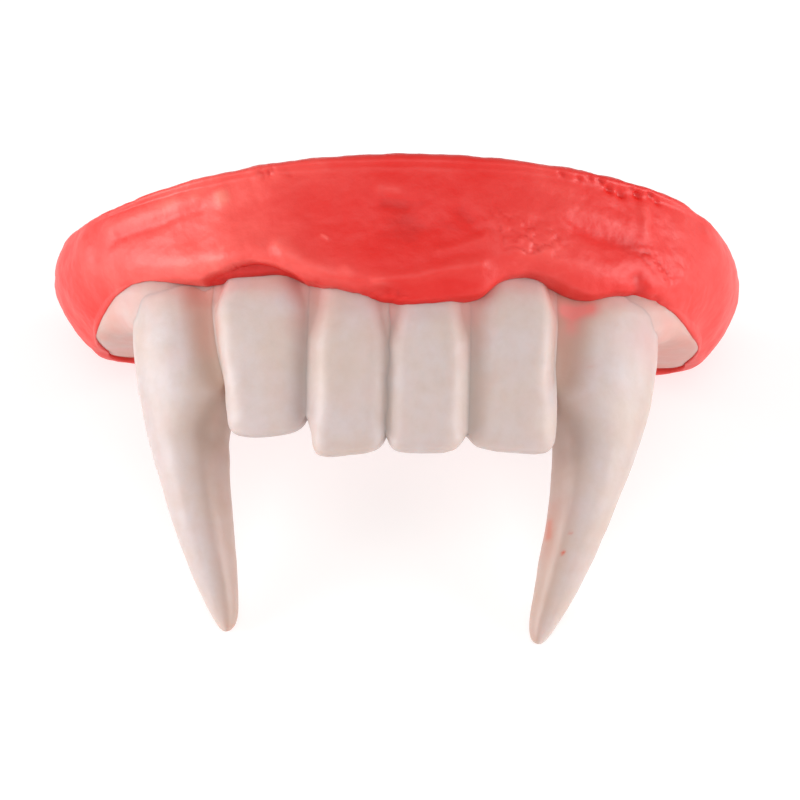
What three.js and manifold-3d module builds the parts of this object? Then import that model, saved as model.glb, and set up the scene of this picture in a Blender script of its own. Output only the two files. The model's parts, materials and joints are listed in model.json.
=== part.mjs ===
// A costume vampire denture: a red gum tray that slips over the wearer's upper teeth, with a white bed in its
// underside and six white teeth, two of them long fangs. All sizes are in millimetres.
//
// The denture is modelled level: X runs across the mouth, +Y from the lips to the throat, +Z up, and Z = 0 is the
// underside of the tray. Put down on a table, the real one leans back on its fang tips and the two ends of its tray,
// so the finished group is tipped by that lean and stands on Z = 0, with the origin under its middle.

import * as THREE from "three";
import { mergeVertices } from "three/addons/utils/BufferGeometryUtils.js";
import Module from "manifold-3d";

// Gum tray
const gumWidth = 60; // over the flange, from side to side
const gumDepth = 29; // from the front of the flange to the back of its two ends
const gumHeight = 13.3; // from the underside to the rim, at the front
const trayWidth = 11.6; // from the flange to the palate wall
const flangeWall = 2.2; // at the widest level of the flange
const palateWall = 1.8;
const palateRise = 2.8; // of the low wall on the palate side above the floor of the channel
const channelFloor = 1.5; // between the wearer's teeth and the white bed

// White bed, which fills the underside between the rims
const bedRecess = 1.2; // the rim stands this far below the bed
const bedThickness = 1.6;
const bedRim = 1.9; // width of the rim on the palate side
const bedDrop = 1.3; // the bed reaches this far below the underside between the fangs

// Teeth
const rootCover = 0.7; // gum left between a root and the channel
const centralWidth = 6.0;
const centralDepth = 5.4;
const leftCentralDrop = 12.1; // from the underside to the biting edge
const rightCentralDrop = 11.8;
const leftLateralWidth = 7.9;
const rightLateralWidth = 7.3;
const lateralDepth = 5.4;
const leftLateralDrop = 10.4;
const rightLateralDrop = 11.4;
const leftFangWidth = 7.0;
const rightFangWidth = 7.9;
const fangDepth = 7.0;
const leftFangDrop = 25.6; // from the underside to the tip
const rightFangDrop = 26.1;
const leftFangLean = 4.9; // the tip stands this much nearer to the midline than the root
const rightFangLean = 5.6;
const leftFangSweep = 0.6; // the tip stands this much further back than the root
const rightFangSweep = 1.2;
const leftLateralSpace = 0.8; // to the tooth on the midline's side, measured along the middle of the teeth
const rightLateralSpace = 0.9;
const leftFangSpace = 2.0;
const rightFangSpace = 2.5;
const fangGroove = 0.35; // depth of the shallow groove down the face of a fang
const midlineShift = -0.7; // the teeth meet this much to the side of the middle of the tray

const gap = 0.3; // clearance between two pieces

// Facets
const frontSteps = 15; // stations from the midline to the last tooth
const sideSteps = 7; // stations from there to the end of the arch
const endSteps = 5; // stations round each end
const endTurn = THREE.MathUtils.degToRad(84); // where the round of an end stops in a small flat
const toothSides = 20;
const lastTooth = 0.62; // share of the half arch that carries teeth

const trayHalf = trayWidth / 2;
const archHalfWidth = gumWidth / 2 - trayHalf;
const archDepth = gumDepth - trayWidth;
const bedTop = bedRecess + bedThickness;
const channelBottom = bedTop + gap + channelFloor;
const palateHeight = channelBottom + palateRise;
const rootTop = channelBottom - rootCover - gap;

const gumRed = 0xe2453f;
const toothWhite = 0xdfd2cb;
const bedWhite = 0xe3c2b8;

// Sections of a front tooth from the top of its root (0) to its biting edge (1): width and depth as shares of the
// tooth's own, and its face as a share of half the tray
const incisorShape = [
  { at: 0.0, width: 0.8, depth: 0.8, face: 0.69 },
  { at: 0.16, width: 0.91, depth: 0.9, face: 0.76 },
  { at: 0.27, width: 0.98, depth: 0.98, face: 0.83 },
  { at: 0.4, width: 1.0, depth: 1.0, face: 0.87 },
  { at: 0.58, width: 1.0, depth: 0.94, face: 0.87 },
  { at: 0.74, width: 1.0, depth: 0.82, face: 0.85 },
  { at: 0.86, width: 0.98, depth: 0.68, face: 0.82 },
  { at: 0.93, width: 0.92, depth: 0.56, face: 0.79 },
  { at: 0.97, width: 0.82, depth: 0.43, face: 0.75 },
  { at: 1.0, width: 0.62, depth: 0.22, face: 0.69 },
];

// The same for a fang, down to its tip
const fangShape = [
  { at: 0.0, width: 0.9, depth: 0.84, face: 0.76 },
  { at: 0.08, width: 1.0, depth: 0.93, face: 0.82 },
  { at: 0.17, width: 1.07, depth: 1.0, face: 0.88 },
  { at: 0.28, width: 1.06, depth: 1.0, face: 0.9 },
  { at: 0.4, width: 1.0, depth: 0.97, face: 0.89 },
  { at: 0.5, width: 0.92, depth: 0.91, face: 0.86 },
  { at: 0.6, width: 0.83, depth: 0.83, face: 0.81 },
  { at: 0.7, width: 0.74, depth: 0.73, face: 0.74 },
  { at: 0.78, width: 0.65, depth: 0.64, face: 0.67 },
  { at: 0.85, width: 0.55, depth: 0.54, face: 0.6 },
  { at: 0.91, width: 0.44, depth: 0.43, face: 0.52 },
  { at: 0.95, width: 0.35, depth: 0.34, face: 0.46 },
  { at: 0.98, width: 0.24, depth: 0.23, face: 0.41 },
  { at: 1.0, width: 0.1, depth: 0.1, face: 0.35 },
];
const leanPower = 2; // a fang's lean grows with this power of the way down

// The teeth, in the order in which they are fitted: a later one gives way to an earlier one. Each stands beside
// another one, or beside the midline, with its own space between them.
const teeth = {
  left_central_incisor: {
    side: -1, beside: null, space: gap / 2, width: centralWidth, depth: centralDepth, drop: leftCentralDrop,
    shape: incisorShape, squareness: 2.7, lean: 0, sweep: 0, groove: 0,
  },
  right_central_incisor: {
    side: 1, beside: null, space: gap / 2, width: centralWidth, depth: centralDepth, drop: rightCentralDrop,
    shape: incisorShape, squareness: 2.7, lean: 0, sweep: 0, groove: 0,
  },
  left_lateral_incisor: {
    side: -1, beside: "left_central_incisor", space: leftLateralSpace, width: leftLateralWidth,
    depth: lateralDepth, drop: leftLateralDrop, shape: incisorShape, squareness: 2.8, lean: 0, sweep: 0, groove: 0,
  },
  right_lateral_incisor: {
    side: 1, beside: "right_central_incisor", space: rightLateralSpace, width: rightLateralWidth,
    depth: lateralDepth, drop: rightLateralDrop, shape: incisorShape, squareness: 2.8, lean: 0, sweep: 0, groove: 0,
  },
  left_fang: {
    side: -1, beside: "left_lateral_incisor", space: leftFangSpace, width: leftFangWidth, depth: fangDepth,
    drop: leftFangDrop, shape: fangShape, squareness: 2.2, lean: leftFangLean, sweep: leftFangSweep,
    groove: fangGroove,
  },
  right_fang: {
    side: 1, beside: "right_lateral_incisor", space: rightFangSpace, width: rightFangWidth, depth: fangDepth,
    drop: rightFangDrop, shape: fangShape, squareness: 2.2, lean: rightFangLean, sweep: rightFangSweep,
    groove: fangGroove,
  },
};

// Height of the gum's lower edge as a share of gumHeight, from left to right. A row's place is that of a tooth,
// moved away from the midline by a share of the tooth's width. At the two ends of the arch the height is 0.
const gumLine = [
  { tooth: "left_fang", beyond: 1.5, height: 0.02 },
  { tooth: "left_fang", beyond: 1.05, height: 0.11 },
  { tooth: "left_fang", beyond: 0.65, height: 0.205 },
  { tooth: "left_fang", beyond: 0.15, height: 0.235 },
  { tooth: "left_fang", beyond: -0.25, height: 0.215 },
  { tooth: "left_lateral_incisor", beyond: 0.5, height: 0.155 },
  { tooth: "left_lateral_incisor", beyond: 0, height: 0.195 },
  { tooth: "left_central_incisor", beyond: 0.5, height: 0.12 },
  { tooth: "left_central_incisor", beyond: 0, height: 0.03 },
  { tooth: "right_central_incisor", beyond: -0.4, height: -0.04 },
  { tooth: "right_central_incisor", beyond: 0.1, height: -0.025 },
  { tooth: "right_lateral_incisor", beyond: -0.5, height: 0.04 },
  { tooth: "right_lateral_incisor", beyond: 0.1, height: 0.15 },
  { tooth: "right_fang", beyond: -0.6, height: 0.125 },
  { tooth: "right_fang", beyond: -0.15, height: 0.155 },
  { tooth: "right_fang", beyond: 0.2, height: 0.16 },
  { tooth: "right_fang", beyond: 0.6, height: 0.12 },
  { tooth: "right_fang", beyond: 1.0, height: 0.04 },
  { tooth: "right_fang", beyond: 1.5, height: 0.01 },
];

// Height of the rim as a share of gumHeight, from the left end of the arch (-1) to the right end (1)
const rimLine = [
  { at: -1.0, height: 0.81 },
  { at: -0.8, height: 0.82 },
  { at: -0.6, height: 0.85 },
  { at: -0.4, height: 0.915 },
  { at: -0.2, height: 0.975 },
  { at: 0.0, height: 1.0 },
  { at: 0.2, height: 1.0 },
  { at: 0.4, height: 0.98 },
  { at: 0.6, height: 0.935 },
  { at: 0.8, height: 0.885 },
  { at: 1.0, height: 0.83 },
];

// The flange from its lower edge (rise 0) to its rim (rise 1): how far out it stands, as a share of half the tray,
// at the front of the arch and at its sides, where the lower edge curls under
const flangeShape = [
  { rise: 0.0, front: 0.8, side: 0.3 },
  { rise: 0.02, front: 0.89, side: 0.42 },
  { rise: 0.08, front: 0.96, side: 0.6 },
  { rise: 0.2, front: 1.0, side: 0.8 },
  { rise: 0.36, front: 0.99, side: 0.94 },
  { rise: 0.55, front: 0.95, side: 1.0 },
  { rise: 0.73, front: 0.91, side: 0.98 },
  { rise: 0.86, front: 0.87, side: 0.92 },
  { rise: 0.93, front: 0.91, side: 0.92 },
  { rise: 0.98, front: 0.87, side: 0.87 },
  { rise: 1.0, front: 0.77, side: 0.78 },
];
const sideFrom = 0.5; // shares of the half arch between which the front shape turns into the side shape
const sideTo = 0.85;

// The palate wall from its top down to the underside, as shares of palateHeight and of half the tray
const palateShape = [
  { rise: 1.0, inward: 0.74 },
  { rise: 0.95, inward: 0.86 },
  { rise: 0.8, inward: 0.94 },
  { rise: 0.5, inward: 1.0 },
  { rise: 0.2, inward: 0.98 },
  { rise: 0.05, inward: 0.88 },
  { rise: 0.0, inward: 0.72 },
];

// How far the round of an end reaches, as a share of half its width, from the underside (0) to the rim (1)
const endShape = [
  { rise: 0.0, reach: 0.62 },
  { rise: 0.06, reach: 0.8 },
  { rise: 0.18, reach: 0.94 },
  { rise: 0.4, reach: 1.0 },
  { rise: 0.8, reach: 0.98 },
  { rise: 1.0, reach: 0.9 },
];

// Swellings and hollows of the flange: beside which tooth, how far beyond its middle and how far each way they
// reach, as shares of the tooth's width, their place and reach up the flange, and how far they stand out, as a share
// of the flange's wall
const relief = [
  { tooth: "left_fang", beyond: 0, reach: 0.5, rise: 0.3, spread: 0.4, out: 0.2 },
  { tooth: "right_fang", beyond: 0, reach: 0.5, rise: 0.3, spread: 0.4, out: 0.2 },
  { tooth: "left_lateral_incisor", beyond: 0, reach: 0.36, rise: 0.3, spread: 0.3, out: 0.12 },
  { tooth: "right_lateral_incisor", beyond: 0.1, reach: 0.38, rise: 0.3, spread: 0.3, out: 0.14 },
  { tooth: "right_central_incisor", beyond: -0.1, reach: 0.8, rise: 0.62, spread: 0.2, out: -0.26 },
  { tooth: "right_central_incisor", beyond: -0.2, reach: 0.72, rise: 0.14, spread: 0.12, out: 0.2 },
  { tooth: "left_lateral_incisor", beyond: 0.5, reach: 0.32, rise: 0.6, spread: 0.2, out: -0.16 },
  { tooth: "right_lateral_incisor", beyond: 0.85, reach: 0.4, rise: 0.55, spread: 0.18, out: -0.18 },
];

// The bed along the half arch: how far out it reaches, as a share of half the tray, and how far it drops, as a share
// of the way from its recessed level (0) to bedDrop below the underside (1)
const bedShape = [
  { at: 0.0, reach: 0.66, drop: 1.0 },
  { at: 0.5, reach: 0.66, drop: 1.0 },
  { at: 0.62, reach: 0.64, drop: 0.45 },
  { at: 0.72, reach: 0.58, drop: 0.0 },
  { at: 0.85, reach: 0.45, drop: 0.0 },
  { at: 1.0, reach: 0.4, drop: 0.0 },
];

const wasm = await Module();
wasm.setup();

// A column of a table at any place between its rows, on one smooth curve
function along(table, place, column, key = "at") {
  let i = table.findIndex((row) => row[key] > place);
  if (i === -1) i = table.length - 1;
  i = Math.max(i, 1);
  const row = (k) => table[THREE.MathUtils.clamp(k, 0, table.length - 1)];
  const slope = (k) => (row(k + 1)[column] - row(k - 1)[column]) / (row(k + 1)[key] - row(k - 1)[key]);
  const from = row(i - 1);
  const to = row(i);
  const span = to[key] - from[key];
  const t = THREE.MathUtils.clamp((place - from[key]) / span, 0, 1);
  const t2 = t * t;
  const t3 = t2 * t;
  return (
    from[column] * (2 * t3 - 3 * t2 + 1) +
    slope(i - 1) * span * (t3 - 2 * t2 + t) +
    to[column] * (3 * t2 - 2 * t3) +
    slope(i) * span * (t3 - t2)
  );
}

// The middle of the tray in plan, a half ellipse, at a share of the half arch
function archAt(share) {
  const angle = (share * Math.PI) / 2;
  return {
    share,
    middle: new THREE.Vector2(archHalfWidth * Math.sin(angle), trayHalf + archDepth * (1 - Math.cos(angle))),
    out: new THREE.Vector2(Math.sin(angle) / archHalfWidth, -Math.cos(angle) / archDepth).normalize(),
    squeeze: 1,
    past: 0,
  };
}

// Half of the line that the teeth stand on, along which their places are measured
const toothLine = trayHalf - centralDepth / 2;
const toothArc = new THREE.EllipseCurve(0, 0, archHalfWidth + toothLine, archDepth + toothLine, -Math.PI / 2, 0);

// A tooth's distance from the midline
function toothDistance(tooth) {
  const near = teeth[tooth.beside];
  const start = near ? toothDistance(near) + near.width / 2 : 0;
  return start + tooth.space + tooth.width / 2;
}

// The share of the half arch at a tooth, or beyond it by a share of its width
function shareBy(tooth, beyond = 0) {
  const distance = tooth.side * (toothDistance(tooth) + beyond * tooth.width) + midlineShift;
  return Math.sign(distance) * toothArc.getUtoTmapping(0, Math.abs(distance));
}

const placed = (row) => ({ ...row, at: shareBy(teeth[row.tooth], row.beyond) });
const gumEdge = [{ at: -1, height: 0 }, ...gumLine.map(placed), { at: 1, height: 0 }];
const spots = relief.map((row) => {
  const tooth = teeth[row.tooth];
  const reach = Math.abs(shareBy(tooth, row.beyond + row.reach) - shareBy(tooth, row.beyond));
  return { ...placed(row), reach };
});

// Stations along the whole arch from right to left. Each end goes on straight back past the ellipse, by shares of the
// swept form's own half width, while the form is squeezed, which rounds the end in plan.
function stations() {
  const half = [];
  for (let i = 1; i <= frontSteps; i++) half.push((lastTooth * i) / frontSteps);
  for (let i = 1; i <= sideSteps; i++) half.push(lastTooth + ((1 - lastTooth) * i) / sideSteps);
  const right = half.map(archAt);
  for (let i = 1; i <= endSteps; i++) {
    const turn = (endTurn * i) / endSteps;
    right.push({ ...archAt(1), squeeze: Math.cos(turn), past: Math.sin(turn) });
  }
  const left = right.map((s) => ({
    ...s,
    share: -s.share,
    middle: new THREE.Vector2(-s.middle.x, s.middle.y),
    out: new THREE.Vector2(-s.out.x, s.out.y),
  }));
  return [...right.reverse(), archAt(0), ...left];
}

// One closed surface over a row of closed rings of points, with both ends filled
function skin(rings) {
  const sides = rings[0].length;
  const index = [];
  for (let i = 0; i + 1 < rings.length; i++)
    for (let j = 0; j < sides; j++) {
      const a = i * sides + j;
      const b = i * sides + ((j + 1) % sides);
      index.push(a, b, b + sides, a, b + sides, a + sides);
    }
  const lastRing = (rings.length - 1) * sides;
  const firstCentre = rings.length * sides;
  for (let j = 0; j < sides; j++) {
    const next = (j + 1) % sides;
    index.push(firstCentre, next, j);
    index.push(firstCentre + 1, lastRing + j, lastRing + next);
  }
  const centre = (ring) => ring.reduce((sum, p) => sum.add(p), new THREE.Vector3()).divideScalar(sides);
  const points = [...rings.flat(), centre(rings[0]), centre(rings.at(-1))];
  const geometry = new THREE.BufferGeometry().setFromPoints(points);
  geometry.setIndex(index);
  return geometry;
}

// Sweeps a section along the arch. sectionAt(share, closed) gives points [outward, up], where closed grows from 0 to
// 1 round each end. The form closes there about its own middle, and reachAt(up) shapes the round.
function sweep(sectionAt, reachAt = () => 1) {
  return skin(
    stations().map((station) => {
      const section = sectionAt(station.share, 1 - station.squeeze);
      const outward = section.map(([n]) => n);
      const low = Math.min(...outward);
      const high = Math.max(...outward);
      const centre = (low + high) / 2;
      return section.map(([n, z]) => {
        const across = centre + (n - centre) * station.squeeze;
        const spot = station.middle.clone().addScaledVector(station.out, across);
        const past = (station.past * reachAt(z) * (high - low)) / 2;
        return new THREE.Vector3(spot.x, spot.y + past, z);
      });
    }),
  );
}

function toSolid(geometry) {
  const merged = mergeVertices(geometry, 1e-4);
  return new wasm.Manifold(
    new wasm.Mesh({
      numProp: 3,
      vertProperties: merged.getAttribute("position").array,
      triVerts: new Uint32Array(merged.index.array),
    }),
  );
}

function toGeometry(solid) {
  const mesh = solid.getMesh();
  const geometry = new THREE.BufferGeometry();
  geometry.setAttribute("position", new THREE.BufferAttribute(mesh.vertProperties, mesh.numProp));
  geometry.setIndex(new THREE.BufferAttribute(mesh.triVerts, 1));
  return geometry;
}

// How far the swellings and hollows move the face of the flange outward
function reliefAt(share, rise) {
  return spots.reduce((sum, spot) => {
    const x = (share - spot.at) / spot.reach;
    const y = (rise - spot.rise) / spot.spread;
    return sum + spot.out * flangeWall * Math.exp(-x * x - y * y);
  }, 0);
}

// The whole tray before it is hollowed: flange, rim and palate wall, which meet at one height round the ends
function trayBlock() {
  const endRim = gumHeight * rimLine.at(-1).height;
  const endHeight = (endRim + palateHeight) / 2;
  const sectionAt = (share, closed) => {
    const side = THREE.MathUtils.smoothstep(Math.abs(share), sideFrom, sideTo);
    const edge = gumHeight * along(gumEdge, share, "height");
    const rim = THREE.MathUtils.lerp(gumHeight * along(rimLine, share, "height"), endHeight, closed);
    const inner = THREE.MathUtils.lerp(palateHeight, endHeight, closed);
    const flange = flangeShape.map((row) => {
      const out = THREE.MathUtils.lerp(row.front, row.side, side) * trayHalf;
      return [out + reliefAt(share, row.rise), edge + row.rise * (rim - edge)];
    });
    const palate = palateShape.map((row) => [-row.inward * trayHalf, row.rise * inner]);
    return [...flange, ...palate, [0, 0]];
  };
  return sweep(sectionAt, (z) => along(endShape, z / endRim, "reach", "rise"));
}

// A trough or strip between two levels, with the corners of its lower side cut off
function trough(inner, outer, bottom, top, corner) {
  return [
    [inner, bottom + corner],
    [inner + corner, bottom],
    [outer - corner, bottom],
    [outer, bottom + corner],
    [outer, top],
    [inner, top],
  ];
}

// Space for the wearer's own teeth, open upwards
function channel() {
  const wellAbove = gumHeight + trayWidth;
  const inner = palateWall - trayHalf;
  const outer = trayHalf - flangeWall;
  return sweep(() => trough(inner, outer, channelBottom, wellAbove, channelFloor / 2));
}

// The bed in the underside. With room, it is the hole that it lies in, open downwards.
function bedForm(room) {
  const inner = bedRim - trayHalf - room;
  return sweep((share) => {
    const way = Math.abs(share);
    const outer = trayHalf * along(bedShape, way, "reach") + room;
    const under = bedRecess - (bedRecess + bedDrop) * along(bedShape, way, "drop");
    const bottom = room ? -gumHeight : under;
    return trough(inner, outer, bottom, bedTop + room, bedThickness / 2);
  });
}

// One tooth, or with room the socket that it needs
function crown(tooth, room) {
  const share = shareBy(tooth);
  const place = archAt(Math.abs(share));
  const side = Math.sign(share);
  const length = rootTop + tooth.drop;
  const power = 2 / tooth.squareness;
  const grooveAt = THREE.MathUtils.degToRad(112); // round the tooth, with its face at 90
  const grooveHalf = THREE.MathUtils.degToRad(18);
  const rings = tooth.shape.map((row) => {
    const halfWidth = (row.width * tooth.width) / 2;
    const halfDepth = (row.depth * tooth.depth) / 2;
    const lean = row.at ** leanPower;
    const centre = place.middle.clone().addScaledVector(place.out, row.face * trayHalf - halfDepth);
    centre.x -= lean * tooth.lean;
    centre.y += lean * tooth.sweep;
    const z = rootTop - row.at * length + (row.at === 0 ? room : 0) - (row.at === 1 ? room : 0);
    const ring = [];
    for (let j = 0; j < toothSides; j++) {
      const turn = (2 * Math.PI * j) / toothSides;
      const c = Math.cos(turn);
      const s = Math.sin(turn);
      const dent = row.at ? tooth.groove * row.width * Math.exp(-(((turn - grooveAt) / grooveHalf) ** 2)) : 0;
      const across = Math.sign(c) * Math.abs(c) ** power * (halfWidth + room);
      const forward = Math.sign(s) * Math.abs(s) ** power * (halfDepth + room - dent);
      const x = centre.x - place.out.y * across + place.out.x * forward;
      const y = centre.y + place.out.x * across + place.out.y * forward;
      ring.push(new THREE.Vector3(side * x, y, z));
    }
    return side > 0 ? ring : ring.reverse();
  });
  return skin(rings);
}

// Fit the pieces to each other
const sockets = Object.values(teeth).map((tooth) => toSolid(crown(tooth, gap)));
const crowns = Object.values(teeth).map((tooth, i) =>
  sockets.slice(0, i).reduce((solid, socket) => solid.subtract(socket), toSolid(crown(tooth, 0))),
);
const cutForTeeth = (solid) => sockets.reduce((rest, socket) => rest.subtract(socket), solid);
const bed = cutForTeeth(toSolid(bedForm(0)));
const gum = cutForTeeth(toSolid(trayBlock()).subtract(toSolid(channel())).subtract(toSolid(bedForm(gap))));

function piece(name, solid, color, roughness) {
  const material = new THREE.MeshStandardMaterial({ color, roughness, metalness: 0, flatShading: true });
  const mesh = new THREE.Mesh(toGeometry(solid), material);
  mesh.name = name;
  return mesh;
}

const denture = new THREE.Group();
denture.add(piece("gum", gum, gumRed, 0.45));
denture.add(piece("tooth_bed", bed, bedWhite, 0.6));
Object.keys(teeth).forEach((name, i) => denture.add(piece(name, crowns[i], toothWhite, 0.5)));

// How low a mesh reaches once the denture leans back by an angle
function lowest(mesh, lean) {
  const spot = mesh.geometry.getAttribute("position");
  let low = Infinity;
  for (let i = 0; i < spot.count; i++)
    low = Math.min(low, spot.getZ(i) * Math.cos(lean) - spot.getY(i) * Math.sin(lean));
  return low;
}

// Lean the denture back until the ends of its tray come down to the level of its fang tips
const tray = denture.getObjectByName("gum");
const fangs = ["left_fang", "right_fang"].map((name) => denture.getObjectByName(name));
let tooLevel = 0;
let tooUpright = Math.PI / 2;
while (tooUpright - tooLevel > 1e-7) {
  const lean = (tooLevel + tooUpright) / 2;
  const fangLow = Math.min(...fangs.map((mesh) => lowest(mesh, lean)));
  if (fangLow < lowest(tray, lean)) tooLevel = lean;
  else tooUpright = lean;
}
denture.rotation.x = -tooLevel;

// Stand it on the surface, with the origin under its middle
const box = new THREE.Box3().setFromObject(denture, true);
denture.position.set(-(box.min.x + box.max.x) / 2, -(box.min.y + box.max.y) / 2, -box.min.z);

export default denture;
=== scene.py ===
# Vampire fang denture, cast in soft white vinyl with its gum painted red.
# Every piece is drawn level, in millimetres: X across the mouth, +Y from the lips to the throat, Z = 0 the
# underside of the tray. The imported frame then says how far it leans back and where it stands.
import bpy
import math
from mathutils import Matrix, Quaternion, Vector, noise
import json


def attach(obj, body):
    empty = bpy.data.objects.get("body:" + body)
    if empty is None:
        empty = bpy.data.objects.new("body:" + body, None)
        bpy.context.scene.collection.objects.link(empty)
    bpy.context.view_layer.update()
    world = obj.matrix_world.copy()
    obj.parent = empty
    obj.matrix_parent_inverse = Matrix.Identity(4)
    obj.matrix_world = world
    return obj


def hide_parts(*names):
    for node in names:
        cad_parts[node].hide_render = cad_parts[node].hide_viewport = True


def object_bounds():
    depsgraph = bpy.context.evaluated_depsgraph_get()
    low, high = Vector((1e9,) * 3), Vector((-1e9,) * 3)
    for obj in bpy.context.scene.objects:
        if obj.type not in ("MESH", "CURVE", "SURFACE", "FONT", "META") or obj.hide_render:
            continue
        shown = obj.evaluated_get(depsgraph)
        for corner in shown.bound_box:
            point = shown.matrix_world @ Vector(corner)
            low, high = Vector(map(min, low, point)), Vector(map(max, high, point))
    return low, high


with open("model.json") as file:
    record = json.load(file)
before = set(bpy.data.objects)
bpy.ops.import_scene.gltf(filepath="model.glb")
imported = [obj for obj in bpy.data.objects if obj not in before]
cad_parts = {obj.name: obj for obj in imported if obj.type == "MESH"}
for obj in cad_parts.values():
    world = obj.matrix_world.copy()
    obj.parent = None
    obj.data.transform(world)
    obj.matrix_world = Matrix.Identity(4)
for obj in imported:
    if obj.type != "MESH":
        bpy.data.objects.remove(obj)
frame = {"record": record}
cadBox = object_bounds()
print("frame loaded")

# the tray that carries everything, as the solids have it
tray = {
    "gumWidth": 60.0,
    "gumDepth": 29.0,
    "gumHeight": 13.3,
    "trayWidth": 11.6,
    "flangeWall": 2.2,
    "palateWall": 1.8,
    "palateHeight": 7.4,
    "channelBottom": 4.6,
    "bedTop": 2.8,
    "midlineShift": -0.7,
}
trayHalf = tray["trayWidth"] / 2
archHalfWidth = tray["gumWidth"] / 2 - trayHalf
archDepth = tray["gumDepth"] - tray["trayWidth"]

# how fine the meshes are
fineness = {"along": 400, "ends": 36, "face": 72, "toothSides": 96, "toothStep": 0.2}

# the floor of the channel is a mount of the frame, so it gives the lean and the place
seat = frame["record"]["mounts"][0]
lean = math.atan2(seat["axis"][1], seat["axis"][2])
standing = (
    Matrix.Translation(Vector(seat["pos_m"]))
    @ Matrix.Rotation(-lean, 4, "X")
    @ Matrix.Scale(0.001, 4)
    @ Matrix.Translation((0, -trayHalf, -tray["channelBottom"]))
)


def lerp(a, b, t):
    return a + (b - a) * t


def smooth(low, high, value):
    t = min(max((value - low) / (high - low), 0.0), 1.0)
    return t * t * (3 - 2 * t)


# a column of a table at any place between its rows, on one smooth curve
def along(table, place, column, key="at"):
    last = len(table) - 1
    i = max(next((k for k, row in enumerate(table) if row[key] > place), last), 1)

    def slope(k):
        low = table[max(k - 1, 0)]
        high = table[min(k + 1, last)]
        return (high[column] - low[column]) / (high[key] - low[key])

    start, end = table[i - 1], table[i]
    span = end[key] - start[key]
    t = min(max((place - start[key]) / span, 0.0), 1.0)
    t2, t3 = t * t, t * t * t
    return (
        start[column] * (2 * t3 - 3 * t2 + 1)
        + slope(i - 1) * span * (t3 - 2 * t2 + t)
        + end[column] * (3 * t2 - 2 * t3)
        + slope(i) * span * (t3 - t2)
    )


# the middle of the tray in plan, a half ellipse, and the way out of the mouth there
def archAt(share):
    angle = share * math.pi / 2
    middle = Vector((archHalfWidth * math.sin(angle), trayHalf + archDepth * (1 - math.cos(angle)), 0))
    out = Vector((math.sin(angle) / archHalfWidth, -math.cos(angle) / archDepth, 0))
    return middle, out.normalized()


# length of a line that runs a fixed distance outside the middle of the tray, in small steps
def lengthTable(outside, steps=400):
    table = [{"share": 0.0, "length": 0.0}]
    before = archAt(0)[0] + archAt(0)[1] * outside
    for i in range(1, steps + 1):
        middle, out = archAt(i / steps)
        spot = middle + out * outside
        table.append({"share": i / steps, "length": table[-1]["length"] + (spot - before).length})
        before = spot
    return table


flangeLengths = lengthTable(trayHalf)

# One row for each tooth, from the midline outwards, with the sizes of its solid. top is the level of its shoulders
# (mm), curve says how late the lean comes in, and slim how much of its width the lower half keeps.
teethTable = {
    "left_central_incisor": {
        "side": -1, "beside": None, "space": 0.15, "width": 6.0, "depth": 5.4, "drop": 12.1, "form": "incisor",
        "squareness": 2.6, "lean": 0, "sweep": 0, "tilt": -0.1, "top": 0.7, "curve": 2, "slim": 1.0,
    },
    "right_central_incisor": {
        "side": 1, "beside": None, "space": 0.15, "width": 6.0, "depth": 5.4, "drop": 11.8, "form": "incisor",
        "squareness": 2.6, "lean": 0, "sweep": 0, "tilt": 0.05, "top": 0.4, "curve": 2, "slim": 1.0,
    },
    "left_lateral_incisor": {
        "side": -1, "beside": "left_central_incisor", "space": 0.8, "width": 7.9, "depth": 5.4, "drop": 10.4,
        "form": "incisor", "squareness": 2.8, "lean": 0, "sweep": 0, "tilt": 0.0, "top": 3.2, "curve": 2, "slim": 1.0,
    },
    "right_lateral_incisor": {
        "side": 1, "beside": "right_central_incisor", "space": 0.9, "width": 7.3, "depth": 5.4, "drop": 11.4,
        "form": "incisor", "squareness": 2.8, "lean": 0, "sweep": 0, "tilt": 0.0, "top": 3.3, "curve": 2, "slim": 1.0,
    },
    "left_fang": {
        "side": -1, "beside": "left_lateral_incisor", "space": 2.0, "width": 7.0, "depth": 7.0, "drop": 25.6,
        "form": "fang", "squareness": 2.2, "lean": 5.2, "sweep": 0.6, "tilt": 0.0, "top": 3.6, "curve": 1.5, "slim": 1.0,
    },
    "right_fang": {
        "side": 1, "beside": "right_lateral_incisor", "space": 2.5, "width": 7.9, "depth": 7.0, "drop": 26.1,
        "form": "fang", "squareness": 2.2, "lean": 5.95, "sweep": 1.2, "tilt": 0.0, "top": 3.0, "curve": 1.8, "slim": 0.88,
    },
}
toothLine = lengthTable(trayHalf - 2.7)


def toothDistance(tooth):
    near = teethTable.get(tooth["beside"])
    start = toothDistance(near) + near["width"] / 2 if near else 0
    return start + tooth["space"] + tooth["width"] / 2


def shareBy(tooth, beyond=0.0):
    distance = tooth["side"] * (toothDistance(tooth) + beyond * tooth["width"]) + tray["midlineShift"]
    return math.copysign(along(toothLine, abs(distance), "share", "length"), distance)


# the place on the arch beside a tooth's middle, mirrored to the right side as teeth are
def placeBeside(tooth, across):
    distance = toothDistance(tooth) + across + tooth["side"] * tray["midlineShift"]
    share = math.copysign(along(toothLine, abs(distance), "share", "length"), distance)
    return archAt(share)


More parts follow.
